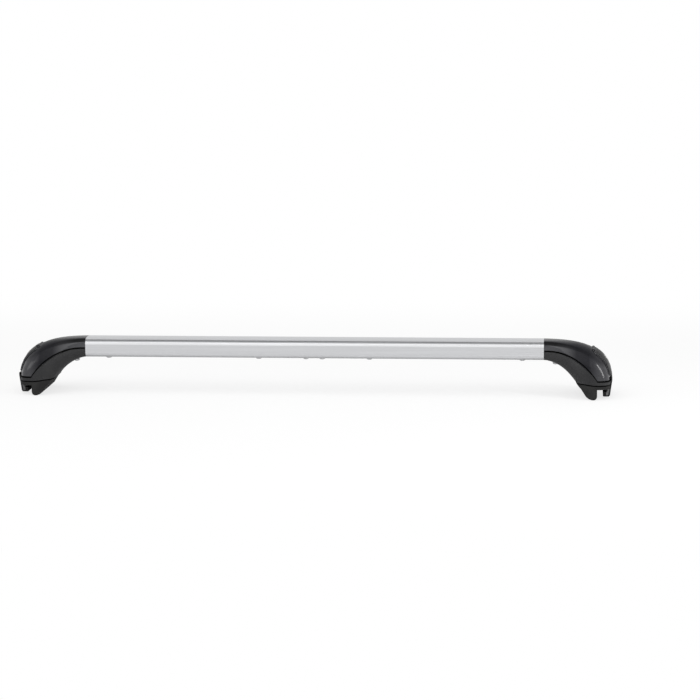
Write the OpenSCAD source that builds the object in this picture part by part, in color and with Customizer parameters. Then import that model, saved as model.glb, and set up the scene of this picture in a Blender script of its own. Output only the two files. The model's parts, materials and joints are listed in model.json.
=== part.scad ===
// Roof rack crossbar: two aluminium bar halves on an inner joiner, with a moulded
// clamping foot at each end. X runs along the bar, Z is up, and the feet stand on z = 0.

/* [Bar] */
// Length of one bar half, from the seam to the foot
half_len = 395.5; // [250:0.5:480]
// Width of the bar's section
bar_w = 46; // [40:1:56]
// Height of the bar's section
bar_h = 34; // [31:1:38]
// Height of the bar's underside above the ground
bar_z = 62; // [59:1:66]
// Wall of the bar at its middle
bar_wall = 2.5; // [2:0.1:3.2]
// Squareness of the bar's outline, where 2 is an oval
bar_square = 4; // [3.2:0.1:5]
// Thickness of the two upright ribs inside the bar
rib = 2; // [1.5:0.1:3]
// Clear width between the two ribs
chamber_w = 21; // [18:0.5:24]
// Width of the trim groove along each side
groove_w = 1.2; // [0.6:0.1:2]
// Depth of the trim groove
groove_deep = 1; // [0.5:0.1:1.4]
// Distance of the trim groove below the bar's crown
groove_drop = 3.2; // [2.8:0.1:5]

/* [Joiner] */
// Length of the joiner inside the two halves
joiner_len = 230; // [215:1:300]
// Wall of the joiner tube
joiner_wall = 2.8; // [2:0.1:4]
// Distance from the seam to the inner pair of bolts
bolt_inner = 14; // [10:1:30]
// Distance from the seam to the outer pair of bolts
bolt_outer = 96; // [70:1:100]
// Width of the threaded strip
strip_w = 13; // [12:0.5:14]
// Thickness of the threaded strip
strip_h = 5; // [3:0.5:7]

/* [Screws] */
// Diameter of the screws' shanks
screw_d = 6; // [5:0.5:7]
// Diameter of the screws' heads
head_d = 10.5; // [9:0.5:12]
// Height of the screws' heads
head_h = 3.4; // [2.5:0.1:4.5]
// Distance from the foot to the screw at the bar's end
end_screw = 37; // [28:1:45]
// Distance from the bar's end to the screw under the foot
foot_screw = 20; // [16:1:24]

/* [Foot] */
// Length of the foot beyond the bar
foot_len = 114; // [104:0.5:124]
// Depth of the foot at its base
foot_d = 100; // [90:1:110]
// Height of the joint between the cover and the base
base_z = 31.5; // [30.5:0.1:32.5]
// Height at which the two shells part beside the bar
part_z = 78.7; // [76:0.1:81]
// Amount by which the foot's section softens at its bend
soften = 1.7; // [0.8:0.1:1.9]
// Depth of the crease that runs on from the bar's groove
crease = 1.1; // [0.4:0.1:1.6]
// Wall of the upper cover
shell = 3; // [2.2:0.1:4]
// Visible joint between the two shells
seam = 0.7; // [0.3:0.05:0.9]
// Amount by which the base flange stands out from the cover
lip = 0.3; // [0.2:0.1:0.8]
// Distance from the leg's outer face to the foot's end
jaw = 23.5; // [22:0.5:26]
// Reach of the foot's underside behind the leg's outer face
heel = 36.5; // [34:0.5:39]

/* [Rail pad] */
// Wall of the rubber boot round the leg and over the rail
pad_t = 3; // [2:0.2:3.4]
// Height of the boot's underside, which rests on the rail
pad_z = 17.7; // [16:0.1:19]
// Height of the boot's top edge, where it meets the base
pad_top = 24.5; // [24:0.1:25.4]

/* [Claw] */
// Thickness of the claw's plate
claw_t = 4; // [3:0.5:5]
// Width of the claw
claw_d = 60; // [48:1:64]
// Lowest point of the claw
claw_z = 3; // [2:0.1:4]
// Reach of the claw's hook back towards the leg
hook = 13; // [11:0.5:14]
// Thickness of the rubber round the hook
hook_pad = 2; // [1.4:0.1:2.6]
// Travel of the claw when it opens
claw_travel = 7; // [5:0.5:7]
// Running gap between the claw and its guide
slide_gap = 0.4; // [0.3:0.05:0.8]
// Width of the upright flange that the clamp bolt pulls
flange_w = 26; // [22:1:30]
// Wall of the black shell round the claw
claw_shell_t = 2; // [1.5:0.1:2.4]

/* [Clamp] */
// Diameter of the clamp bolt
clamp_d = 8; // [6:0.5:9]
// Height of the clamp bolt's axis
clamp_z = 45.8; // [45.4:0.1:46]
// Diameter of the clamp bolt's head
clamp_head_d = 11; // [10:0.5:11]
// Height of the clamp bolt's head
clamp_head_h = 3.8; // [3.2:0.1:3.9]
// Running clearance round the clamp bolt
run = 0.08; // [0.03:0.01:0.1]
// Thickness of the nut behind the claw's flange
nut_t = 6; // [4:0.5:6.5]

/* [End cover] */
// Width of the end cover at its lower end
lid_w = 66; // [60:1:72]
// Width of the end cover beside its hinge
lid_top_w = 50; // [44:1:56]
// Thickness of the end cover
lid_t = 2.2; // [1.8:0.1:3]
// Gap under the end cover
lid_gap = 0.4; // [0.35:0.05:0.7]
// Where the end cover starts along the foot's outline
lid_start = 0.55; // [0.53:0.01:0.56]
// Where the end cover ends along the foot's outline
lid_end = 0.93; // [0.9:0.01:0.95]
// Diameter of the hinge pin
pin_d = 3; // [2.5:0.1:3.2]
// Width of the hinge's middle knuckle
hinge_w = 24; // [20:1:28]
// Width of each outer knuckle of the hinge
ear_w = 5; // [4:0.5:6]

/* [Lock] */
// Diameter of the lock cylinder
lock_d = 11; // [9:0.5:12]
// Place of the lock along the foot's outline
lock_at = 0.74; // [0.735:0.005:0.745]
// Depth of the lock's boss below the foot's outline
lock_deep = 8; // [7.5:0.1:8.2]
// Length of the lock's cam from its axis
cam_len = 12.5; // [12:0.5:13.5]
// Thickness of the lock's cam
cam_t = 2; // [1.5:0.1:3]

/* [Hidden] */
$fn = 48;
bar_mid = bar_z + bar_h / 2;
bar_top = bar_z + bar_h;
chamber_h = bar_h - 2 * bar_wall;
fit = 0.3;
insert_in = 62;
insert_out = 44;
tongue_h = 16;
tongue_w = 18;

// A point on a cubic curve with the four control points p
function bezier(p, t) =
    pow(1 - t, 3) * p[0] + 3 * t * pow(1 - t, 2) * p[1]
    + 3 * t * t * (1 - t) * p[2] + pow(t, 3) * p[3];

// A point on a squared oval, with half sizes a and b and squareness n
function squared(a, b, n, angle) = [
    a * sign(cos(angle)) * pow(abs(cos(angle)), 2 / n),
    b * sign(sin(angle)) * pow(abs(sin(angle)), 2 / n)
];
function squared_oval(a, b, n, count) = [
    for (i = [0:count - 1]) squared(a, b, n, (i + 0.5) * 360 / count)
];

// The foot's outlines from the side, from the bar outwards: its back and its underside
leg_x = foot_len - jaw;
heel_x = leg_x - heel;
loft_z = base_z * 0.873;
back = [
    [0, bar_top], [foot_len * 0.51, bar_top],
    [foot_len, bar_z + bar_h * 0.765], [foot_len, loft_z]
];
belly = [
    [0, bar_z], [heel_x * 0.33, bar_z - bar_h * 0.06],
    [heel_x * 0.7, bar_z - bar_h * 0.41], [heel_x, loft_z]
];
// The line on which the two shells part, down to its corner above the leg
parting = [
    [0, part_z], [foot_len * 0.28, part_z + 0.8],
    [foot_len * 0.54, part_z - bar_h * 0.37], [leg_x - 2.5, base_z + 4.5]
];
parting_corner = leg_x + 0.5;

// The outward direction of the foot's back, and a line that runs along it at some height
function back_normal(t) =
    let (d = bezier(back, t + 0.01) - bezier(back, t - 0.01))
        [-d[1], d[0]] / norm(d);
function back_line(t0, t1, rise) = [
    for (i = [0:14])
        let (t = t0 + (t1 - t0) * i / 14)
            bezier(back, t) + rise * back_normal(t)
];
function reversed(list) = [for (i = [len(list) - 1:-1:0]) list[i]];

function loft_mid(t) = (bezier(back, t) + bezier(belly, t)) / 2;
function loft_half(t) = norm(bezier(back, t) - bezier(belly, t)) / 2;
function loft_up(t) = (bezier(back, t) - bezier(belly, t)) / (2 * loft_half(t));
function eased(t) = t * t * (3 - 2 * t);
function loft_width(t) = bar_w / 2 + (foot_d / 2 - bar_w / 2) * eased(min(1, 1.15 * t));
function loft_square(t) = bar_square - soften * sin(180 * t);
// The crease runs along both flanks, under the crown, and fades out before the bend
function crease_at(t, angle, inset) =
    inset == 0 && abs(90 - abs(angle - 90) - 40) < 7 ? crease * max(0, 1 - t / 0.5) : 0;
function loft_ring(t, inset, count) = [
    for (i = [0:count - 1])
        let (
            angle = (i + 0.5) * 360 / count,
            p = squared(loft_width(t) - inset, loft_half(t) - inset, loft_square(t), angle),
            y = p[0] - sign(p[0]) * crease_at(t, angle, inset)
        )
            [loft_mid(t)[0] + p[1] * loft_up(t)[0], y, loft_mid(t)[1] + p[1] * loft_up(t)[1]]
];

// The foot's whole form, or a stretch of it, swept from the bar's section to the base
module foot_form(inset = 0, steps = 14, count = 36, from = 0) {
    rings = [for (i = [0:steps]) loft_ring(from + (1 - from) * i / steps, inset, count)];
    points = [for (ring = rings) for (p = ring) p];
    walls = [
        for (i = [0:steps - 1]) for (j = [0:count - 1])
            let (a = i * count + j, b = i * count + (j + 1) % count)
                each [[a, b + count, b], [a, a + count, b + count]]
    ];
    near_end = [for (j = [0:count - 1]) j];
    far_end = [for (j = [0:count - 1]) steps * count + count - 1 - j];
    polyhedron(points, concat(walls, [near_end, far_end]), convexity = 4);
}

// A flat side view, drawn in x and z, made d deep in y about the middle
module across(d) {
    translate([0, d / 2, 0])
        rotate([90, 0, 0])
            linear_extrude(d)
                children();
}

// Side view of a band along the foot's back, between two heights over it
module back_band(t0, t1, low, high) {
    polygon(concat(back_line(t0, t1, low), reversed(back_line(t0, t1, high))));
}

// Puts a foot's piece at the end it belongs to
module at_end(side) {
    mirror([side == "left" ? 1 : 0, 0, 0])
        translate([half_len, 0, 0])
            children();
}

function parting_line(drop) = [
    for (i = [0:10]) bezier(parting, i / 10) + [0, -drop],
    [parting_corner, base_z - drop]
];

// Side view of what lies above the parting line
module above_parting(drop = 0) {
    polygon(concat(
        [[-1, part_z - drop]],
        parting_line(drop),
        [[foot_len + 9, base_z - drop], [foot_len + 9, bar_top + 9], [-1, bar_top + 9]]
    ));
}

// Side view of what lies below the parting line, down to the flange
module below_parting() {
    polygon(concat(
        [[0, part_z]],
        parting_line(0),
        [[parting_corner, loft_z - 1], [0, loft_z - 1]]
    ));
}

// A rounded plan of the foot's base, grown outwards by some distance
base_mid = (heel_x + foot_len) / 2;
base_half = (foot_len - heel_x) / 2;
module base_plan(grow) {
    translate([base_mid, 0, -1])
        linear_extrude(base_z + 1)
            polygon(squared_oval(base_half + grow, foot_d / 2 + grow, bar_square, 40));
}

// Half the bar's width at the height of its trim groove
groove_x = bar_w / 2 * pow(1 - pow(1 - 2 * groove_drop / bar_h, bar_square), 1 / bar_square);

// The bar's section, with its three chambers and side grooves
module bar_section() {
    difference() {
        polygon(squared_oval(bar_w / 2, bar_h / 2, bar_square, 72));
        square([chamber_w, chamber_h], center = true);
        for (s = [-1, 1]) {
            intersection() {
                polygon(squared_oval(bar_w / 2 - bar_wall, chamber_h / 2, bar_square, 48));
                translate([s * (chamber_w / 2 + rib + bar_w / 2), 0])
                    square([bar_w, bar_h], center = true);
            }
            translate([s * (groove_x - groove_deep + bar_wall), bar_h / 2 - groove_drop])
                square([2 * bar_wall, groove_w], center = true);
        }
    }
}

module bar_half(side) {
    dir = side == "left" ? -1 : 1;
    color("silver")
        difference() {
            translate([dir < 0 ? -half_len : 0, 0, bar_mid])
                rotate([90, 0, 90])
                    linear_extrude(half_len)
                        bar_section();
            for (x = [bolt_inner, bolt_outer, half_len - end_screw])
                translate([dir * x, 0, bar_z - 1])
                    cylinder(d = screw_d + 2 * fit, h = bar_wall + 2);
        }
}

// A tube of the chamber's section that carries both halves across the seam
module joiner() {
    w = chamber_w - 2 * fit;
    h = chamber_h - 2 * fit;
    color("lightgray")
        difference() {
            translate([0, 0, bar_mid])
                cube([joiner_len, w, h], center = true);
            translate([0, 0, bar_mid])
                cube([joiner_len + 2, w - 2 * joiner_wall, h - 2 * joiner_wall], center = true);
            for (x = [bolt_inner, bolt_outer]) for (s = [-1, 1])
                translate([s * x, 0, bar_z])
                    cylinder(d = screw_d + 2 * fit, h = bar_wall + joiner_wall + 2);
        }
}

strip_z = bar_z + bar_wall + fit + joiner_wall;

module thread_strip() {
    color("gray")
        difference() {
            translate([0, 0, strip_z + strip_h / 2])
                cube([joiner_len - 12, strip_w, strip_h], center = true);
            for (x = [bolt_inner, bolt_outer]) for (s = [-1, 1])
                translate([s * x, 0, strip_z - 1])
                    cylinder(d = screw_d + 2 * run, h = strip_h + 2);
        }
}

// A low domed screw that points up, with its head's seat at z = 0
module dome_screw(len) {
    difference() {
        union() {
            rotate_extrude()
                polygon(concat(
                    [[0, 0], [head_d / 2, 0]],
                    [for (i = [0:6]) [head_d / 2 * cos(i * 12), -0.8 - (head_h - 0.8) * sin(i * 15)]],
                    [[0, -head_h]]
                ));
            cylinder(d = screw_d, h = len);
        }
        translate([0, 0, -head_h - 1])
            cylinder(d = 3.8, h = 3, $fn = 6);
    }
}

module joiner_screws() {
    color("dimgray")
        for (x = [bolt_inner, bolt_outer]) for (s = [-1, 1])
            translate([s * x, 0, bar_z])
                dome_screw(strip_z + strip_h - bar_z);
}

module bar_end_screws() {
    color("dimgray")
        for (s = [-1, 1])
            translate([s * (half_len - end_screw), 0, bar_z])
                dome_screw(bar_h * 0.6);
}

tongue_z = bar_z + 7;

// The cast arm that joins a foot to its bar half
module insert(side) {
    w = chamber_w - 2 * fit;
    h = chamber_h - 2 * fit;
    color("gray")
        at_end(side)
            difference() {
                union() {
                    translate([-insert_in, -w / 2, bar_mid - h / 2])
                        cube([insert_in - 1, w, h]);
                    translate([-2, -tongue_w / 2, tongue_z])
                        cube([insert_out + 2, tongue_w, tongue_h]);
                }
                for (s = [-1, 1])
                    translate([-insert_in - 1, s * w / 2 - 3, bar_mid - 4])
                        cube([insert_in - 8, 6, 8]);
                translate([-end_screw, 0, bar_z])
                    cylinder(d = screw_d + 2 * run, h = bar_h * 0.6 + 2);
                translate([foot_screw, 0, tongue_z - 1])
                    cylinder(d = screw_d + 2 * run, h = tongue_h + 2);
            }
}

foot_screw_z = bar_z - 5.6;

module foot_screw(side) {
    color("dimgray")
        at_end(side)
            translate([foot_screw, 0, foot_screw_z])
                dome_screw(tongue_z + tongue_h - 2 - foot_screw_z);
}

// The line on which the base meets its rubber boot, from the foot's underside outwards
boot_line = [
    [heel_x, loft_z], [heel_x + heel * 0.38, loft_z - 0.4],
    [leg_x - heel * 0.38, pad_top + 1.1], [leg_x - heel * 0.12, pad_top],
    [foot_len + 9, pad_top]
];

// Side view of the base's flange, above the boot
module flange_side() {
    polygon(concat([[heel_x - 4, base_z]], boot_line, [[foot_len + 9, base_z]]));
}

// Side view of the boot: the leg with its rounded sole, and the roof over the rail
module boot_side(rise = 0) {
    leg = [
        [0, 1], [0, 0.34], [0.036, 0.124], [0.104, 0.023], [0.178, 0], [0.26, 0.023],
        [0.384, 0.124], [0.507, 0.316], [0.603, 0.62], [0.74, 1.045]
    ];
    polygon(concat(
        [for (p = boot_line) p + [0, rise]],
        [[foot_len + 9, pad_z]],
        [for (p = leg) [leg_x - heel * p[0], pad_z * p[1]]]
    ));
}

// The leg's core and the plate over the rail, which the boot is pulled over
module boot_core(grow = 0) {
    intersection() {
        across(foot_d + 20)
            offset(delta = grow - pad_t)
                boot_side(rise = base_z - pad_top - 1);
        base_plan(grow - pad_t);
    }
}

// The slot in which the claw's plate hangs, and its room to move outwards
module claw_slot() {
    translate([plate_x - claw_t - slide_gap, -claw_d / 2 - slide_gap, -1])
        cube([foot_len, claw_d + 2 * slide_gap, base_z + 2]);
}

// The lower moulding: it carries the insert, the nut and the claw's guide
module foot_base(side) {
    color([0.12, 0.12, 0.13])
        at_end(side)
            difference() {
                union() {
                    intersection() {
                        foot_form();
                        across(foot_d + 20) below_parting();
                    }
                    intersection() {
                        across(foot_d + 20) flange_side();
                        base_plan(lip);
                    }
                    boot_core();
                }
                translate([-1, -tongue_w / 2 - fit, tongue_z - fit])
                    cube([insert_out + 1 + fit, tongue_w + 2 * fit, tongue_h + 30]);
                translate([foot_screw, 0, bar_z - 30])
                    cylinder(d = head_d + 2, h = foot_screw_z - bar_z + 30);
                translate([foot_screw, 0, foot_screw_z - 1])
                    cylinder(d = screw_d + 2 * fit, h = tongue_z - foot_screw_z + 2);
                translate([leg_x + 4, -claw_d / 2 - slide_gap, tongue_floor - slide_gap])
                    cube([foot_len, claw_d + 2 * slide_gap, base_z]);
                claw_slot();
                translate([bolt_end - 1, -washer_d / 2 - fit, clamp_z - washer_d / 2 - fit])
                    cube([washer_x + washer_t - bolt_end + 1 + run, washer_d + 2 * fit, bar_h]);
                translate([bolt_end, 0, clamp_z])
                    rotate([0, 90, 0])
                        cylinder(d = clamp_d + 2 * slide_gap, h = 60);
            }
}

// The upper moulding: a glossy shell with a window under the end cover
module foot_cover(side) {
    color([0.08, 0.08, 0.09])
        at_end(side)
            difference() {
                union() {
                    difference() {
                        intersection() {
                            foot_form();
                            across(foot_d + 20) above_parting(-seam);
                        }
                        intersection() {
                            foot_form(inset = shell, steps = 10, count = 28);
                            across(foot_d + 20) above_parting(0);
                        }
                    }
                    for (s = [-1, 1]) {
                        translate([0, s * (window_w / 2 + catch_w / 2), 0])
                            across(catch_w)
                                back_band(lock_at - 0.05, lock_at + 0.04, -lock_deep + slide_gap, -1);
                        translate([0, s * (hinge_w / 2 + slide_gap + ear_w / 2), 0])
                            hinge_axis()
                                cylinder(r = barrel_r, h = ear_w, center = true);
                    }
                }
                hinge_axis()
                    cylinder(r = barrel_r + slide_gap, h = hinge_w + 2 * slide_gap, center = true);
                across(hinge_w + 2 * slide_gap)
                    back_band(lid_start, lid_start + web_end + 0.006, -web_deep - slide_gap, 3);
                translate([hinge_point[0] + barrel_r, -window_w / 2, window_low])
                    cube([60, window_w, hinge_point[1] - window_low]);
                hinge_axis()
                    cylinder(d = pin_d + 2 * run, h = pin_len + 0.4, center = true);
            }
}

// The rubber boot round the leg, whose roof lies on the rail
module rail_pad(side) {
    color([0.16, 0.16, 0.16])
        at_end(side)
            difference() {
                intersection() {
                    across(foot_d + 20) boot_side();
                    base_plan(0);
                }
                boot_core();
                translate([-1.2, 0, 0])
                    claw_slot();
                translate([leg_x + 4, -claw_d / 2 - slide_gap, tongue_floor - slide_gap])
                    cube([foot_len, claw_d + 2 * slide_gap, base_z]);
            }
}

tongue_floor = pad_top + 2;
flange_x = leg_x + 4.5;
plate_x = foot_len - 0.5;
flange_top = clamp_z + clamp_head_d / 2;
hook_low = claw_z + claw_shell_t;
hook_top = hook_low + claw_t;

// The pressed claw: a hook, a tongue in the base's guide and a flange for the bolt
module claw(side) {
    top = base_z - slide_gap;
    inner = plate_x - claw_t;
    color("gainsboro")
        at_end(side)
            difference() {
                union() {
                    across(claw_d)
                        polygon([
                            [flange_x, tongue_floor], [inner, tongue_floor],
                            [inner, pad_z], [inner - 2, hook_top + 3],
                            [inner - 3.8, hook_top + 0.8], [inner - 3.8, hook_low],
                            [plate_x - 5.5, hook_low], [plate_x - 3.6, hook_low + 1.4],
                            [plate_x - 3, hook_top + 0.8], [plate_x - 1, pad_z + 2.3],
                            [plate_x, tongue_floor], [plate_x, top], [inner, top],
                            [inner, tongue_floor + claw_t], [flange_x, tongue_floor + claw_t]
                        ]);
                    across(claw_d - 2 * hook_pad)
                        polygon([
                            [plate_x - hook + hook_pad, hook_low], [plate_x - 5.5, hook_low],
                            [plate_x - 5.5, hook_top], [plate_x - hook + hook_pad, hook_top]
                        ]);
                    translate([flange_x, -flange_w / 2, tongue_floor])
                        cube([claw_t, flange_w, flange_top - tongue_floor]);
                }
                translate([flange_x - 1, 0, clamp_z])
                    rotate([0, 90, 0])
                        cylinder(d = clamp_d + 2 * run, h = claw_t + 2);
            }
}

// The black moulding clipped round the outside of the claw and under its hook
module claw_shell(side) {
    x = plate_x + 0.1;
    t = claw_shell_t;
    color([0.1, 0.1, 0.1])
        at_end(side)
            across(claw_d)
                polygon([
                    [foot_len + 0.7, base_z + 5.5], [foot_len + 0.3 + t, base_z + 5],
                    [foot_len + 0.3 + t, base_z], [x + t, tongue_floor],
                    [x + t - 1, pad_z + 2.3], [x + t - 3.1, claw_z + 2], [x + t - 5.4, claw_z],
                    [plate_x - hook + 1, claw_z], [plate_x - hook, claw_z + 0.8],
                    [plate_x - hook, hook_low - 0.05], [plate_x - 5.4, hook_low - 0.05],
                    [plate_x - 3.5, hook_low + 1.35], [x - 1, pad_z + 2.3],
                    [x, tongue_floor], [x, base_z - 1], [foot_len + 0.7, base_z + 0.5]
                ]);
}

// The rubber cap on the hook, which bears on the rail
module claw_pad(side) {
    color([0.2, 0.2, 0.2])
        at_end(side)
            difference() {
                across(claw_d)
                    polygon([
                        [plate_x - hook, hook_low], [plate_x - 7.9, hook_low],
                        [plate_x - 7.9, hook_top + hook_pad],
                        [plate_x - hook + 1, hook_top + hook_pad],
                        [plate_x - hook, hook_top + hook_pad - 1]
                    ]);
                translate([plate_x - hook + hook_pad, -claw_d / 2 + hook_pad, hook_low - 1])
                    cube([hook, claw_d - 2 * hook_pad, claw_t + 1]);
            }
}

washer_d = clamp_head_d + 2.5;
washer_t = 1.6;
collar_t = 2;
bolt_end = leg_x - heel * 0.54;
washer_x = bolt_end + 0.8 + collar_t;
head_x = flange_x + claw_t + claw_travel + fit;

// The thrust washer in the base, which holds the bolt against the claw's pull
module clamp_washer(side) {
    color("silver")
        at_end(side)
            translate([washer_x, 0, clamp_z])
                rotate([0, 90, 0])
                    difference() {
                        cylinder(d = washer_d, h = washer_t);
                        translate([0, 0, -1])
                            cylinder(d = clamp_d + 2 * run, h = washer_t + 2);
                    }
}

// The socket-headed bolt, which turns in the base and draws the claw in
module clamp_bolt(side) {
    color("silver")
        at_end(side)
            translate([bolt_end, 0, clamp_z])
                rotate([0, 90, 0])
                    difference() {
                        union() {
                            cylinder(d = clamp_d, h = head_x - bolt_end + 1);
                            translate([0, 0, 0.8 - run])
                                cylinder(d = clamp_d + 3.4, h = collar_t);
                            translate([0, 0, head_x - bolt_end])
                                cylinder(d = clamp_head_d, h = clamp_head_h);
                        }
                        translate([0, 0, head_x - bolt_end + clamp_head_h - 3])
                            cylinder(d = 6.9, h = 5, $fn = 6);
                    }
}

// The nut that is pressed on behind the claw's flange and moves with it
module clamp_nut(side) {
    color("silver")
        at_end(side)
            translate([flange_x - nut_t, 0, clamp_z])
                rotate([0, 90, 0])
                    difference() {
                        cylinder(d = clamp_d * 1.75, h = nut_t, $fn = 6);
                        translate([0, 0, -1])
                            cylinder(d = clamp_d + 2 * run, h = nut_t + 2);
                    }
}

barrel_r = pin_d / 2 + 1.7;
window_w = lock_d + 8;
window_low = clamp_z - 6;
catch_w = 4;
web_end = 0.042;
web_deep = 1.3;
pin_len = hinge_w + 2 * slide_gap + 2 * ear_w;

hinge_point = bezier(back, lid_start) - 1.8 * back_normal(lid_start);

module hinge_axis() {
    translate([hinge_point[0], 0, hinge_point[1]])
        rotate([90, 0, 0])
            children();
}

// Puts a piece on the foot's back, square to it, at a depth measured from there
module at_back(t, depth) {
    n = back_normal(t);
    translate([bezier(back, t)[0], 0, bezier(back, t)[1]])
        rotate([0, 90 - atan2(n[1], n[0]), 0])
            translate([0, 0, depth])
                children();
}

// How far a point of the back lies down the end cover from the cover's middle
lid_mid = (lid_start + lid_end) / 2;
function down_lid(t) =
    let (d = bezier(back, t) - bezier(back, lid_mid), n = back_normal(lid_mid))
        d[0] * n[1] - d[1] * n[0];

// The hinged cover over the clamp bolt, with the lock's boss inside
module end_cover(side) {
    x0 = down_lid(lid_start + 0.018);
    x1 = down_lid(lid_end);
    a = lid_top_w / 2;
    b = lid_w / 2;
    color([0.1, 0.1, 0.11])
        at_end(side)
            difference() {
                union() {
                    intersection() {
                        difference() {
                            foot_form(inset = -lid_gap - lid_t, steps = 8, from = 0.44);
                            foot_form(inset = -lid_gap, steps = 8, from = 0.44);
                        }
                        at_back(lid_mid, -foot_d / 4)
                            linear_extrude(foot_d / 2)
                                polygon([
                                    [x0, 3 - a], [x0 + 3, -a - 0.6], [x1 - 4, -b], [x1, 4 - b],
                                    [x1, b - 4], [x1 - 4, b], [x0 + 3, a + 0.6], [x0, a - 3]
                                ]);
                    }
                    hinge_axis()
                        cylinder(r = barrel_r, h = hinge_w, center = true);
                    across(hinge_w)
                        back_band(lid_start + 0.012, lid_start + web_end, -web_deep, lid_gap + lid_t / 2);
                    at_lock(-lock_deep)
                        cylinder(d = lock_d + 4, h = lock_deep + lid_gap + lid_t / 2);
                }
                for (s = [-1, 1])
                    translate([0, s * (hinge_w / 2 + ear_w / 2 + slide_gap + 0.2), 0])
                        hinge_axis()
                            cylinder(r = barrel_r + slide_gap, h = ear_w + 0.8, center = true);
                hinge_axis()
                    cylinder(d = pin_d + 2 * run, h = hinge_w + 2, center = true);
                at_lock(-lock_deep - 1)
                    cylinder(d = lock_d + 2 * run, h = lock_deep + 12);
            }
}

module hinge_pin(side) {
    color("silver")
        at_end(side)
            hinge_axis()
                cylinder(d = pin_d, h = pin_len - 0.4, center = true);
}

module at_lock(depth) {
    at_back(lock_at, depth)
        children();
}

spindle_d = 5;

// The key cylinder, which turns a quarter turn in the end cover
module lock_cylinder(side) {
    face = lid_gap + lid_t + fit;
    color("silver")
        at_end(side)
            difference() {
                union() {
                    at_lock(-lock_deep)
                        cylinder(d = lock_d, h = lock_deep + face);
                    at_lock(-lock_deep - cam_t - 1)
                        cylinder(d = spindle_d, h = cam_t + 2);
                }
                at_lock(face - 2.5)
                    translate([-3, -0.6, 0])
                        cube([6, 1.2, 3]);
            }
}

// The cam behind the cylinder, shown turned clear of its catches
module lock_cam(side) {
    color("gray")
        at_end(side)
            at_lock(-lock_deep - cam_t - 0.3)
                difference() {
                    union() {
                        cylinder(d = spindle_d + 4, h = cam_t);
                        translate([-cam_len, -3, 0])
                            cube([cam_len, 6, cam_t]);
                    }
                    translate([0, 0, -1])
                        cylinder(d = spindle_d + 2 * run, h = cam_t + 2);
                }
}

bar_half("left");  // bar_left
bar_half("right");  // bar_right
joiner();
thread_strip();
joiner_screws();
bar_end_screws();
insert("left");  // insert_left
insert("right");  // insert_right
foot_screw("left");  // foot_screw_left
foot_screw("right");  // foot_screw_right
foot_base("left");  // foot_base_left
foot_base("right");  // foot_base_right
foot_cover("left");  // foot_cover_left
foot_cover("right");  // foot_cover_right
rail_pad("left");  // rail_pad_left
rail_pad("right");  // rail_pad_right
claw("left");  // claw_left
claw("right");  // claw_right
claw_shell("left");  // claw_shell_left
claw_shell("right");  // claw_shell_right
claw_pad("left");  // claw_pad_left
claw_pad("right");  // claw_pad_right
clamp_bolt("left");  // clamp_bolt_left
clamp_bolt("right");  // clamp_bolt_right
clamp_washer("left");  // clamp_washer_left
clamp_washer("right");  // clamp_washer_right
clamp_nut("left");  // clamp_nut_left
clamp_nut("right");  // clamp_nut_right
end_cover("left");  // end_cover_left
end_cover("right");  // end_cover_right
hinge_pin("left");  // hinge_pin_left
hinge_pin("right");  // hinge_pin_right
lock_cylinder("left");  // lock_cylinder_left
lock_cylinder("right");  // lock_cylinder_right
lock_cam("left");  // lock_cam_left
lock_cam("right");  // lock_cam_right
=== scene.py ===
import json
import math

import bmesh
import bpy
from mathutils import Matrix, Vector

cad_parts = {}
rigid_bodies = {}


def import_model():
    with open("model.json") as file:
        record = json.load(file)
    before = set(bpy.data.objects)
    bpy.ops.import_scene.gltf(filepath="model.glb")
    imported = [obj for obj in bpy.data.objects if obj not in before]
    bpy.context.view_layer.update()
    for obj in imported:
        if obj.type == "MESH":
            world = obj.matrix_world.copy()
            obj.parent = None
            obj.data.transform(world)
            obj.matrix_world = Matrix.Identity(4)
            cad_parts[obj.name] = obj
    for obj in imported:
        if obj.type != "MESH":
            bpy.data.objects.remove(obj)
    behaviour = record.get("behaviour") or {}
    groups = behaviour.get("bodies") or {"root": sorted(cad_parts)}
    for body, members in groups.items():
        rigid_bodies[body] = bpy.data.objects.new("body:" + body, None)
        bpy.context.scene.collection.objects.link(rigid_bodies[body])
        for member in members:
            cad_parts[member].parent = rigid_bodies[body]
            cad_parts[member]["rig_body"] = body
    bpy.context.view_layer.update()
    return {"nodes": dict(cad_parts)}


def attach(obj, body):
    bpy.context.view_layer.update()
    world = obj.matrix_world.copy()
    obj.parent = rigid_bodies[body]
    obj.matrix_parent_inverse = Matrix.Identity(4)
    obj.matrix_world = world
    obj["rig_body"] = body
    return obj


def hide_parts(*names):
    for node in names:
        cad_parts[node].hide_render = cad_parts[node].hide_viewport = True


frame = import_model()
nodes = frame["nodes"]

# Bar halves
# Two extruded aluminium tubes with a trim groove along each side, cut square, drawn to a
# fine lengthwise satin and anodised clear. They meet at the seam over the joiner.


class Amount:
    """What a node gives at each point of a surface. The operators work on numbers."""

    def __init__(self, shading, socket):
        self.shading = shading
        self.socket = socket

    def _math(self, operation, *values):
        return self.shading.node("ShaderNodeMath", {"operation": operation}, *values)

    def __add__(self, other):
        return self._math("ADD", self, other)

    def __radd__(self, other):
        return self._math("ADD", other, self)

    def __sub__(self, other):
        return self._math("SUBTRACT", self, other)

    def __rsub__(self, other):
        return self._math("SUBTRACT", other, self)

    def __mul__(self, other):
        return self._math("MULTIPLY", self, other)

    def __rmul__(self, other):
        return self._math("MULTIPLY", other, self)

    def __abs__(self):
        return self._math("ABSOLUTE", self)


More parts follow.
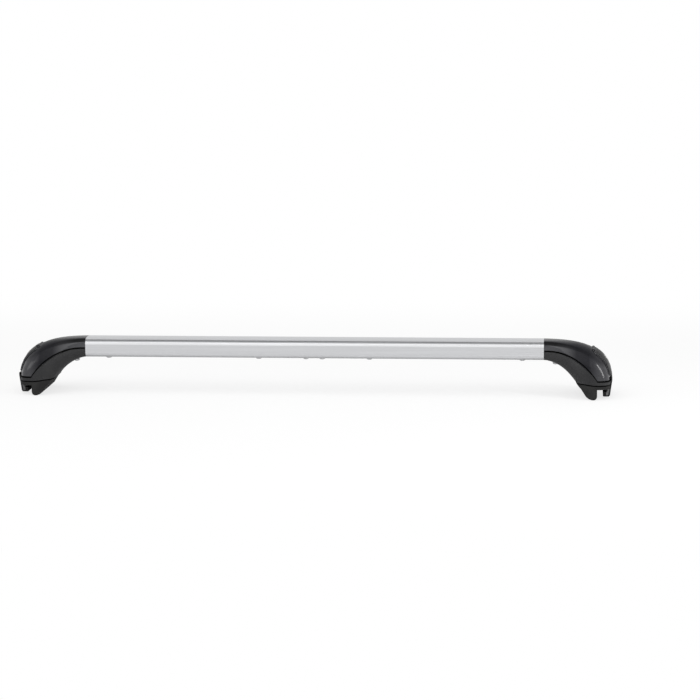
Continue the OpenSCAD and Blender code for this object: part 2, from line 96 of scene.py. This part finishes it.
class Shading:
    """A tree of shader nodes, to which each call adds one."""

    def __init__(self, tree):
        self.tree = tree

    def node(self, kind, settings, *values, **named):
        """Makes a node: its settings first, then its sockets in order or by name."""
        made = self.tree.nodes.new(kind)
        output = settings.pop("output", 0)
        line = settings.pop("line", None)
        for key, value in settings.items():
            setattr(made, key, value)
        if line:
            curve = made.mapping.curves[0]
            curve.points[0].location, curve.points[1].location = line[0], line[-1]
            for point in line[1:-1]:
                curve.points.new(*point)
            for point in curve.points:
                point.handle_type = "VECTOR"
            made.mapping.update()
        for key, value in [*enumerate(values), *named.items()]:
            socket = made.inputs[key if isinstance(key, int) else key.replace("_", " ")]
            if isinstance(value, Amount):
                self.tree.links.new(value.socket, socket)
            else:
                socket.default_value = value
        return Amount(self, made.outputs[output])


class Finish(Shading):
    """One material, with the numbers that are the same all over set on the shader itself."""

    def __init__(self, name, colour, constants):
        self.material = bpy.data.materials.new(name)
        self.material.use_nodes = True
        super().__init__(self.material.node_tree)
        self.shader = self.tree.nodes["Principled BSDF"]
        self.shader.inputs["Base Color"].default_value = (*colour, 1)
        for socket, value in constants.items():
            self.shader.inputs[socket].default_value = value
        self.place = self.node("ShaderNodeTexCoord", {"output": "Object"})

    def stretched(self, x, y, z):
        """The place on the surface with each axis drawn out by its own number."""
        return self.node("ShaderNodeMapping", {}, Vector=self.place, Scale=(x, y, z))

    def axis(self, letter):
        """How far along one axis the surface lies, in metres."""
        return self.node("ShaderNodeSeparateXYZ", {"output": letter}, self.place)

    def noise(self, scale, detail=3, where=None):
        """A cloudy pattern, finer with a larger scale."""
        return self.node("ShaderNodeTexNoise", {}, Vector=where or self.place, Scale=scale,
                         Detail=detail)

    def ramp(self, value, zero, one):
        """A mask that goes from 0 to 1 as the value goes from the one number to the other."""
        return self.node("ShaderNodeMapRange", {"clamp": True}, Value=value, From_Min=zero,
                         From_Max=one)

    def spread(self, pattern, low=0.35, high=0.65):
        """A pattern's middle stretch, spread out to run from 0 to 1."""
        return self.ramp(pattern, low, high)

    def mix(self, mask, *colours):
        """A colour between two others, by a mask from 0 to 1."""
        first, second = (colour if isinstance(colour, Amount) else (*colour, 1)
                         for colour in colours)
        return self.node("ShaderNodeMix", {"data_type": "RGBA", "output": "Result"},
                         Factor=mask, A=first, B=second)

    def feed(self, socket, value):
        self.tree.links.new(value.socket, self.shader.inputs[socket])

    def bump(self, height, depth):
        """Raises the surface by the height's pattern, depth metres at most."""
        self.feed("Normal", self.node("ShaderNodeBump", {}, Height=height, Distance=depth,
                                      Strength=1.0))


# A fade is a pair: where a painted shade or highlight starts and where it is full, in metres.
GROOVE_Z = 0.0921
GROOVE_SHADE_FADE = (0.00273, 0.00104)
LIP_Z = 0.0874
LIP_HIGHLIGHT_FADE = (0.00252, 0.00108)
BAR_FOOT_SHADE_FADE = (0.068, 0.063)
BAR_METALLIC = 0.95


def anodised():
    """Satin streaks, with painted shade in the groove and at the foot and a painted highlight
    on the lip.
    """
    made = Finish("anodised aluminium", (0.6, 0.605, 0.615), {"Metallic": BAR_METALLIC})
    drawn = made.noise(3, 4, made.stretched(1.2, 260, 260))
    fine = made.noise(9, 2, made.stretched(2, 900, 900))
    streaks = made.spread(drawn, 0.3, 0.7)
    cloud = made.spread(made.noise(14), 0.3, 0.7)
    height = made.axis("Z")
    # Painted shade: the groove is darker, duller and less metallic, as if shadowed.
    groove = made.ramp(abs(height - GROOVE_Z), *GROOVE_SHADE_FADE)
    # Painted highlight: a pale band on the lip below the groove.
    lip = made.ramp(abs(height - LIP_Z), *LIP_HIGHLIGHT_FADE)
    # Painted shade: darker along the bar's lowest few millimetres.
    foot = made.ramp(height, *BAR_FOOT_SHADE_FADE)
    metal = made.mix(streaks, (0.575, 0.58, 0.595), (0.65, 0.655, 0.67))
    lit = made.mix(lip, metal, (0.86, 0.865, 0.88))
    shaded = made.mix(foot, lit, (0.44, 0.445, 0.455))
    made.feed("Base Color", made.mix(groove, shaded, (0.26, 0.262, 0.27)))
    made.feed("Metallic", BAR_METALLIC - 0.25 * groove)
    made.feed("Roughness", 0.25 + 0.12 * streaks + 0.05 * cloud + 0.3 * groove)
    made.bump(drawn + 0.5 * fine, 0.00004)
    return made


SIDES = ("left", "right")
WELD = 1e-5
FLAT_ANGLE = math.radians(0.6)


def dress(name, finish, edge, sharp=32):
    """Stands a piece in a node's place, with its edges softened to a width in metres where
    they are sharper than an angle in degrees."""
    node = nodes[name]
    mesh = node.data.copy()
    form = bmesh.new()
    form.from_mesh(mesh)
    bmesh.ops.remove_doubles(form, verts=form.verts, dist=WELD)
    bmesh.ops.dissolve_limit(form, angle_limit=FLAT_ANGLE, verts=form.verts, edges=form.edges)
    form.to_mesh(mesh)
    form.free()
    mesh.materials.clear()
    mesh.materials.append(finish.material)
    mesh.shade_smooth()
    mesh.set_sharp_from_angle(angle=math.radians(sharp))
    piece = bpy.data.objects.new(name + "_skin", mesh)
    bpy.context.scene.collection.objects.link(piece)
    bevel = piece.modifiers.new("edge", "BEVEL")
    bevel.width = edge
    bevel.segments = 2
    bevel.limit_method = "ANGLE"
    bevel.angle_limit = math.radians(sharp)
    bevel.harden_normals = True
    bevel.use_clamp_overlap = True
    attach(piece, node["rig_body"])
    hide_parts(name)


bar_finish = anodised()
for side in SIDES:
    dress("bar_" + side, bar_finish, edge=0.0003, sharp=28)

# Joiner and its threaded strip
# An extruded tube that slides into both halves, and a steel strip with tapped holes inside
# it. Both are hidden, and held by the four screws near the seam.


def as_is(name, finish):
    """Gives a node that keeps its own shape its finish."""
    slots = nodes[name].data.materials
    slots.clear()
    slots.append(finish.material)


def mill_aluminium():
    """Bare aluminium with the lines of its die."""
    made = Finish("mill aluminium", (0.55, 0.55, 0.56), {"Metallic": 0.95})
    drawn = made.noise(4, 3, made.stretched(1, 120, 120))
    made.feed("Roughness", 0.38 + 0.15 * drawn)
    made.bump(drawn, 0.00003)
    return made


def plated_steel(name, plain, dark, light, roughness):
    """Zinc plating, in soft patches of two tones."""
    made = Finish(name, plain, {"Metallic": 1.0})
    patches = made.spread(made.noise(90, 4))
    made.feed("Base Color", made.mix(patches, dark, light))
    made.feed("Roughness", roughness + 0.16 * patches)
    made.bump(made.noise(700), 0.00003)
    return made


zinc = plated_steel("zinc plated steel", plain=(0.58, 0.58, 0.56), dark=(0.5, 0.5, 0.5),
                    light=(0.68, 0.68, 0.65), roughness=0.24)
as_is("joiner", mill_aluminium())
as_is("thread_strip", zinc)

# Screws
# Low domed M6 socket screws in satin stainless steel: four through the seam, one at each
# bar's end and one under each foot. All are driven up from below.


def turned_metal(name, plain, dark, light, scale, detail, roughness, depth):
    """Metal with the fine unevenness that turning and polishing leave."""
    made = Finish(name, plain, {"Metallic": 1.0})
    turned = made.noise(scale, detail)
    tone = made.spread(turned)
    made.feed("Base Color", made.mix(tone, dark, light))
    made.feed("Roughness", roughness + 0.12 * tone)
    made.bump(turned, depth)
    return made


screw_steel = turned_metal("screw steel", plain=(0.5, 0.5, 0.51), dark=(0.42, 0.42, 0.43),
                           light=(0.56, 0.56, 0.57), scale=220, detail=3, roughness=0.25,
                           depth=0.00004)
for name in ("joiner_screws", "bar_end_screws", "foot_screw_left", "foot_screw_right"):
    dress(name, screw_steel, edge=0.00025)

# Inserts
# Die-cast arms that reach into the bar halves and sit between the two mouldings of each
# foot. They are hidden when the bar is whole.


def cast_metal():
    """A grey casting with a sandy skin."""
    made = Finish("cast metal", (0.42, 0.42, 0.43), {"Metallic": 0.9})
    grain = made.noise(500)
    made.feed("Roughness", 0.45 + 0.2 * grain)
    made.bump(grain, 0.0001)
    return made


cast = cast_metal()
for side in SIDES:
    as_is("insert_" + side, cast)

# Foot bases
# The lower moulding of each foot, in black glass-filled nylon with a fine spark-eroded
# grain. It carries the insert, the thrust washer and the claw's guide.
HALF_BAR = 0.3955
FOOT_LENGTH = 0.1225
LINE_TOP = 0.1
PARTING = [(0, 0.0787), (0.0085, 0.0788), (0.0171, 0.0784), (0.0258, 0.0773), (0.0346, 0.0753),
           (0.0436, 0.0722), (0.0526, 0.0681), (0.0616, 0.0627), (0.0705, 0.056),
           (0.0794, 0.047), (0.088, 0.036), (0.091, 0.0315), (FOOT_LENGTH, 0.0315)]
BOOT_TOP = [(0, 0.0275), (0.054, 0.0275), (0.0679, 0.0271), (0.0766, 0.0256), (0.0861, 0.0245),
            (FOOT_LENGTH, 0.0245)]
JOINT_CORE = 0.6
JOINT_SHADE = (0.002, 0.002, 0.002)
RIM_FACING = (0.975, 0.8)


def reach(made):
    """How far out from the bar the surface lies, in metres."""
    return abs(made.axis("X")) - HALF_BAR


def along_foot(made, line):
    """A number that follows a line of reaches, as shares of the foot's length, and values."""
    return made.node("ShaderNodeFloatCurve", {"line": line},
                     Value=reach(made) * (1 / FOOT_LENGTH))


def above_line(made, line):
    """How far the surface lies above a line of reaches and heights, in metres."""
    shares = [(out / FOOT_LENGTH, height / LINE_TOP) for out, height in line]
    return made.axis("Z") - LINE_TOP * along_foot(made, shares)


def joint_line(made, line, lift, width):
    """A mask of the strip along a joint, lifted off its line and this wide to each side."""
    return made.ramp(abs(above_line(made, line) - lift), width, width * JOINT_CORE)


def parting(made):
    """A mask of the joint between a foot's two mouldings."""
    return joint_line(made, PARTING, 0.0003, 0.0017)


def either(made, first, second):
    """The larger of two masks."""
    return made.node("ShaderNodeMath", {"operation": "MAXIMUM"}, first, second)


def rim(made, radius):
    """A mask of the surface's outer edges, as far in as the radius."""
    rounded = made.node("ShaderNodeBevel", {"samples": 4}, Radius=radius)
    true = made.node("ShaderNodeNewGeometry", {"output": "True Normal"})
    facing = made.node("ShaderNodeVectorMath", {"operation": "DOT_PRODUCT", "output": "Value"},
                       rounded, true)
    return made.ramp(facing, *RIM_FACING)


def grained_plastic(name, joined):
    """Grained nylon with worn rims, and painted shade along the joints of a moulding that has
    them.
    """
    made = Finish(name, (0.02, 0.02, 0.022), {"Specular IOR Level": 0.24})
    cloud = made.spread(made.noise(30))
    plain = made.mix(cloud, (0.02, 0.02, 0.021), (0.029, 0.029, 0.03))
    colour = made.mix(rim(made, 0.0006) * cloud, plain, (0.06, 0.06, 0.06))
    height = made.noise(900)
    roughness = 0.5 + 0.14 * made.spread(height)
    if joined:
        # Painted shade: the joints are near black and fully metallic, so that they reflect
        # nothing, like a shadowed gap.
        joint = either(made, parting(made), joint_line(made, BOOT_TOP, 0.0001, 0.0009))
        colour = made.mix(joint, colour, JOINT_SHADE)
        roughness = roughness + 0.3 * joint
        height = height - 3 * joint
        made.feed("Metallic", joint)
    made.feed("Base Color", colour)
    made.feed("Roughness", roughness)
    made.bump(height, 0.00012)
    return made


grained = grained_plastic("grained black plastic", joined=True)
for side in SIDES:
    dress("foot_base_" + side, grained, edge=0.0006)

# Foot covers
# The upper moulding of each foot, a thin shell in smooth semi-gloss black plastic that
# clips over the base and carries the end cover's hinge.
CREASE = [(0, 0.0926), (0.0081, 0.0923), (0.016, 0.0918), (0.0237, 0.0911), (0.0312, 0.0902),
          (0.0385, 0.089), (0.0454, 0.0876), (0.0521, 0.0859), (0.0586, 0.084),
          (0.0647, 0.0817), (0.0706, 0.0792), (0.0763, 0.0764), (0.0817, 0.0731),
          (0.0868, 0.0695), (0.0915, 0.0654), (FOOT_LENGTH, 0.05)]
CREASE_SHADE_END = (0.085, 0.02)
FLANK_FADE = (0.0, -0.006)
COAT_AND_SHEEN_ALONG_FOOT = [(0, 1), (0.17, 0.9), (0.32, 0.6), (0.45, 0.08), (0.62, 0.05), (0.76, 0.75), (1, 0.9)]
CROWN_COAT_AND_SHEEN = 0.35


def gloss_plastic():
    """Black with a gloss coat and a painted sheen on the flank, fuller at both ends of the foot
    than over its bend, with painted shade along the crease and the joint.
    """
    made = Finish("semi-gloss black plastic", (0.01, 0.01, 0.012),
                  {"Specular IOR Level": 0.06, "Coat Roughness": 0.14})
    cloud = made.spread(made.noise(22, 4))
    fine = made.noise(1400, 2)
    flank = made.ramp(above_line(made, CREASE), *FLANK_FADE)
    # One mask sets both the gloss coat and a painted sheen: fuller at the foot's ends and on
    # the flank than on the crown.
    coat_and_sheen = (CROWN_COAT_AND_SHEEN + (1 - CROWN_COAT_AND_SHEEN) * flank) * along_foot(made, COAT_AND_SHEEN_ALONG_FOOT)
    deep = made.mix(cloud, (0.007, 0.007, 0.009), (0.012, 0.012, 0.015))
    # Painted sheen: the colour is lighter where that mask is full.
    plain = made.mix(coat_and_sheen, deep, (0.042, 0.042, 0.047))
    worn = made.mix(rim(made, 0.0005) * cloud, plain, (0.06, 0.06, 0.063))
    # Painted shade: a dark band along the crease, fading out towards the foot's end, joins the
    # painted shade along the joint.
    crease = joint_line(made, CREASE, -0.0005, 0.0034) * made.ramp(reach(made), *CREASE_SHADE_END)
    joint = either(made, parting(made), 0.8 * crease)
    made.feed("Base Color", made.mix(joint, worn, JOINT_SHADE))
    made.feed("Metallic", joint)
    made.feed("Coat Weight", coat_and_sheen * (1 - joint))
    made.feed("Roughness", 0.27 + 0.1 * cloud + 0.05 * fine + 0.45 * joint)
    made.bump(fine - 4 * joint, 0.00004)
    return made


gloss = gloss_plastic()
for side in SIDES:
    dress("foot_cover_" + side, gloss, edge=0.0005)

# Rail pads
# A moulded black rubber boot with a matt skin, pulled over the leg's core and the plate
# that rests on the rail. Its top edge meets the base in a fine joint.


def rubber():
    """Dusty matt rubber, with painted shade along its joint with the base."""
    made = Finish("black rubber", (0.02, 0.02, 0.02), {"Specular IOR Level": 0.2})
    skin = made.noise(380, 4)
    dust = made.spread(made.noise(45, 4), 0.4, 0.7)
    plain = made.mix(dust, (0.015, 0.015, 0.015), (0.026, 0.026, 0.025))
    # Painted shade: the joint with the base is near black and fully metallic, so that it
    # reflects nothing.
    joint = joint_line(made, BOOT_TOP, -0.0003, 0.0011)
    made.feed("Base Color", made.mix(joint, plain, (0.003, 0.003, 0.003)))
    made.feed("Metallic", joint)
    made.feed("Roughness", 0.7 + 0.14 * skin + 0.1 * joint)
    made.bump(skin - 2 * joint, 0.0001)
    return made


black_rubber = rubber()
for side in SIDES:
    dress("rail_pad_" + side, black_rubber, edge=0.0008)

# Claws
# Pressed steel hooks in black zinc that slide in the base's guide, each with a black
# moulding clipped round its outside and a rubber cap on its hook.
black_zinc = plated_steel("black zinc plated steel", plain=(0.12, 0.12, 0.12),
                          dark=(0.09, 0.09, 0.092), light=(0.17, 0.17, 0.17), roughness=0.26)
shell_plastic = grained_plastic("grained black claw plastic", joined=False)
for side in SIDES:
    dress("claw_" + side, black_zinc, edge=0.0005)
    dress("claw_shell_" + side, shell_plastic, edge=0.0005)
    dress("claw_pad_" + side, black_rubber, edge=0.0004)

# Clamp bolts
# An M8 socket-headed steel bolt turns in the base against a thrust washer, and its nut,
# pressed on behind the claw's flange, draws the claw in. A key reaches it under the cover.
for side in SIDES:
    dress("clamp_bolt_" + side, screw_steel, edge=0.0003)
    dress("clamp_washer_" + side, zinc, edge=0.0002)
    as_is("clamp_nut_" + side, zinc)

# End covers
# Black mouldings with a dull satin face that swing up on a steel pin over the clamp bolt.
# Each has a boss for its lock.


def satin_plastic():
    """Dull black, with a painted highlight on the rim where the edges are rounded."""
    made = Finish("satin black plastic", (0.008, 0.008, 0.009), {"Specular IOR Level": 0.12})
    cloud = made.spread(made.noise(35, 4))
    fine = made.noise(1100, 2)
    plain = made.mix(cloud, (0.006, 0.006, 0.007), (0.012, 0.012, 0.013))
    # Painted highlight: a paler colour along the rounded rim.
    made.feed("Base Color", made.mix(rim(made, 0.0018), plain, (0.14, 0.14, 0.145)))
    made.feed("Roughness", 0.36 + 0.1 * cloud + 0.06 * fine)
    made.bump(fine, 0.00004)
    return made


satin = satin_plastic()
for side in SIDES:
    dress("end_cover_" + side, satin, edge=0.0006)
    dress("hinge_pin_" + side, black_zinc, edge=0.0002)

# Locks
# Nickel-plated key cylinders, pressed home from outside, with a flat cam on their inner
# end that turns behind the cover's catches.
nickel = turned_metal("nickel", plain=(0.62, 0.61, 0.58), dark=(0.32, 0.315, 0.3),
                      light=(0.42, 0.415, 0.4), scale=160, detail=4, roughness=0.16,
                      depth=0.00002)
for side in SIDES:
    dress("lock_cylinder_" + side, nickel, edge=0.0003)
    dress("lock_cam_" + side, zinc, edge=0.0002)

# Floor and light
# A plain white floor that runs out to the background, under a large soft lamp overhead, a
# smaller one to the left and a narrow upright one close by on the right.
WHITE = (1, 1, 1, 1)
FLOOR_HALF = 30
GLOW_OVAL = (0.3, 1, 1)
OUTER_FADE = (0.35, 1.1)
UNDER_FADE = (0.05, 0.6)
NEAR_GLOW = 0.75
MIRRORED_GLOW = 0.85
AMBIENT = 0.5
MIRRORED_SURROUND = 0.7
LAMP_AIM = Vector((0, 0, 0.06))


def rays(made, kind):
    """A mask of the light's rays of one kind."""
    return made.node("ShaderNodeLightPath", {"output": kind})


def show(made, shader, output):
    """Puts a shader on the surface or the world."""
    made.tree.links.new(shader.socket, made.tree.nodes[output].inputs["Surface"])


def floor_finish():
    """White that glows from the bar's shadow out, for the camera and in reflections."""
    made = Finish("floor", (0.92, 0.92, 0.92), {"Roughness": 0.9})
    from_middle = made.node("ShaderNodeVectorMath", {"operation": "LENGTH", "output": "Value"},
                            made.stretched(*GLOW_OVAL))
    outer, under = (made.node("ShaderNodeMapRange", {"interpolation_type": "SMOOTHSTEP"},
                              Value=from_middle, From_Min=start, From_Max=end)
                    for start, end in (OUTER_FADE, UNDER_FADE))
    seen = (NEAR_GLOW + (1 - NEAR_GLOW) * outer) * rays(made, "Is Camera Ray")
    mirrored = rays(made, "Is Glossy Ray") + rays(made, "Is Transmission Ray")
    glow = made.node("ShaderNodeEmission", {}, Color=WHITE, Strength=1.0)
    show(made, made.node("ShaderNodeMixShader", {}, seen + MIRRORED_GLOW * under * mirrored,
                         Amount(made, made.shader.outputs[0]), glow), "Material Output")
    return made


floor_mesh = bpy.data.meshes.new("floor")
corners = [(x * FLOOR_HALF, y * FLOOR_HALF, 0) for x, y in ((-1, -1), (1, -1), (1, 1), (-1, 1))]
floor_mesh.from_pydata(corners, [], [(0, 1, 2, 3)])
floor_mesh.materials.append(floor_finish().material)
floor = bpy.data.objects.new("floor", floor_mesh)
bpy.context.scene.collection.objects.link(floor)

world = bpy.data.worlds.new("studio")
bpy.context.scene.world = world
world.use_nodes = True
sky = Shading(world.node_tree)
ambient = sky.tree.nodes["Background"]
ambient.inputs["Color"].default_value = WHITE
ambient.inputs["Strength"].default_value = AMBIENT
surround = sky.node("ShaderNodeBackground", {}, Color=WHITE, Strength=1.0)
share = sky.node("ShaderNodeMath", {"operation": "MULTIPLY_ADD", "use_clamp": True},
                 rays(sky, "Is Glossy Ray"), MIRRORED_SURROUND, rays(sky, "Is Camera Ray"))
show(sky, sky.node("ShaderNodeMixShader", {}, share, Amount(sky, ambient.outputs[0]), surround),
     "World Output")


def lamp(name, place, width, height, power):
    """A soft lamp that points at the bar."""
    data = bpy.data.lights.new(name, "AREA")
    data.shape = "RECTANGLE"
    data.size = width
    data.size_y = height
    data.energy = power
    made = bpy.data.objects.new(name, data)
    made.location = place
    made.rotation_mode = "QUATERNION"
    made.rotation_quaternion = (LAMP_AIM - Vector(place)).to_track_quat("-Z", "Y")
    bpy.context.scene.collection.objects.link(made)


lamp("key", (-0.3, -1.1, 2.4), 3.2, 3.2, 44)
lamp("left", (-2.2, -1.5, 1.1), 1.2, 1.2, 7)
lamp("right", (1.6, -0.72, 0.75), 0.24, 1.1, 9)

# Camera
# A moderately long lens about four metres off, a little to the right of the bar and above
# it, turned slightly so that the bar lies as it does in the photograph.
azimuth = math.radians(5.39)
elevation = math.radians(9.802)
roll = math.radians(-0.504)
distance = 4.157
aim = Vector((0.0624, 0, 0.075))
frame_px = 700
focal_px = 2413.4
sensor_mm = 36
back = Vector((math.sin(azimuth) * math.cos(elevation),
               -math.cos(azimuth) * math.cos(elevation), math.sin(elevation)))
lens = bpy.data.cameras.new("camera")
lens.sensor_width = sensor_mm
lens.lens = focal_px / frame_px * sensor_mm
lens.clip_end = 2 * FLOOR_HALF
camera = bpy.data.objects.new("camera", lens)
camera.rotation_mode = "QUATERNION"
camera.location = aim + distance * back
upright = (-back).to_track_quat("-Z", "Y")
camera.rotation_quaternion = upright @ Matrix.Rotation(roll, 3, "Z").to_quaternion()
bpy.context.scene.collection.objects.link(camera)
bpy.context.scene.camera = camera
bpy.context.scene.view_settings.view_transform = "Standard"
